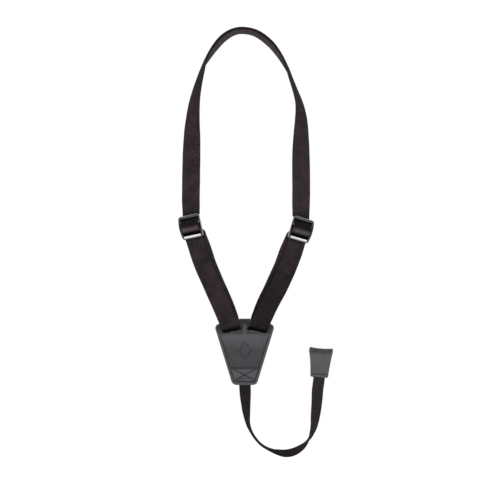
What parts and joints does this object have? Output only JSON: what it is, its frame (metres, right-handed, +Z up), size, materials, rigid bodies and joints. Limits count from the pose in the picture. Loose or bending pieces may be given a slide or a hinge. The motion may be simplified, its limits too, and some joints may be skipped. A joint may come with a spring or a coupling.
{
  "type": "instrument neck strap",
  "caption": "Neck strap for a small instrument: webbing loop with metal slides, a sewn leather yoke and a narrow tail ending in a bent hook that rests on a sound-hole edge.",
  "frame": {"origin": "middle of the yoke's flat back face, 36.8 mm above the yoke's foot", "axes": "+Z up along the hanging strap, -Y towards the viewer (front of the yoke), +Y away from the viewer and out of the yoke's back face, +X to the viewer's right, which is the side that carries the tail and hook"},
  "size_m": [0.1738, 0.021, 0.4816],
  "materials": {
    "webbing": "plain-woven narrow webbing, very dark brown-black, matte",
    "leather": "mid-grey fine-grained leather, satin",
    "thread": "dark sewing thread",
    "slide_metal": "nickel-bright plated wire and bar",
    "board": "plain stiffener, hidden",
    "hook_core": "spring strip, hidden inside the hook"
  },
  "bodies": {
    "neck_strap": {"neck_webbing": "webbing", "left_lower_webbing_front": "webbing", "left_lower_webbing_back": "webbing", "right_lower_webbing_front": "webbing", "right_lower_webbing_back": "webbing"},
    "left_slider": {"left_slider_frame": "slide_metal", "left_slider_middle_bar": "slide_metal", "left_webbing_over_bar": "webbing", "left_webbing_sewn_end": "webbing"},
    "right_slider": {"right_slider_frame": "slide_metal", "right_slider_middle_bar": "slide_metal", "right_webbing_over_bar": "webbing", "right_webbing_sewn_end": "webbing"},
    "yoke": {"yoke_front_leather": "leather", "yoke_back_leather": "leather", "yoke_inner_board": "board", "yoke_border_stitching": "thread", "yoke_cross_stitching": "thread", "left_webbing_slot_turn": "webbing", "right_webbing_slot_turn": "webbing", "tail_webbing_yoke_end": "webbing"},
    "tail_upper": {"tail_webbing_upper": "webbing"},
    "tail_bottom": {"tail_webbing_bottom": "webbing"},
    "tail_riser": {"tail_webbing_riser": "webbing"},
    "hook": {"hook_core": "hook_core", "hook_front_cover": "leather", "hook_inner_lining": "leather", "hook_stitching": "thread", "tail_webbing_hook_end": "webbing"}
  },
  "joints": [
    {"name": "left_slider_slide", "type": "slide", "parent": "neck_strap", "child": "left_slider", "axis": [0.3843, 0, -0.9232], "range_m": [0, 0.042], "deforming": ["left_lower_webbing_front", "left_lower_webbing_back"]},
    {"name": "right_slider_slide", "type": "slide", "parent": "neck_strap", "child": "right_slider", "axis": [-0.4163, 0, -0.9092], "range_m": [0, 0.042], "deforming": ["right_lower_webbing_front", "right_lower_webbing_back"]},
    {"name": "yoke_fold", "type": "hinge", "parent": "neck_strap", "child": "yoke", "pos_m": [0, -0.0029, 0.0389], "axis": [1, 0, 0], "range_deg": [-90, 90]},
    {"name": "tail_fold", "type": "hinge", "parent": "yoke", "child": "tail_upper", "pos_m": [0.0004, -0.0029, -0.038], "axis": [1, 0, 0], "range_deg": [-80, 80]},
    {"name": "tail_bend_left", "type": "hinge", "parent": "tail_upper", "child": "tail_bottom", "pos_m": [0.0126, -0.0029, -0.0974], "axis": [0, 1, 0], "range_deg": [-15, 50]},
    {"name": "tail_bend_right", "type": "hinge", "parent": "tail_bottom", "child": "tail_riser", "pos_m": [0.0724, -0.0029, -0.0969], "axis": [0, 1, 0], "range_deg": [-15, 50]},
    {"name": "hook_fold", "type": "hinge", "parent": "tail_riser", "child": "hook", "pos_m": [0.08317, -0.0029, -0.03119], "axis": [0.9969, 0, -0.0785], "range_deg": [-80, 80]}
  ]
}
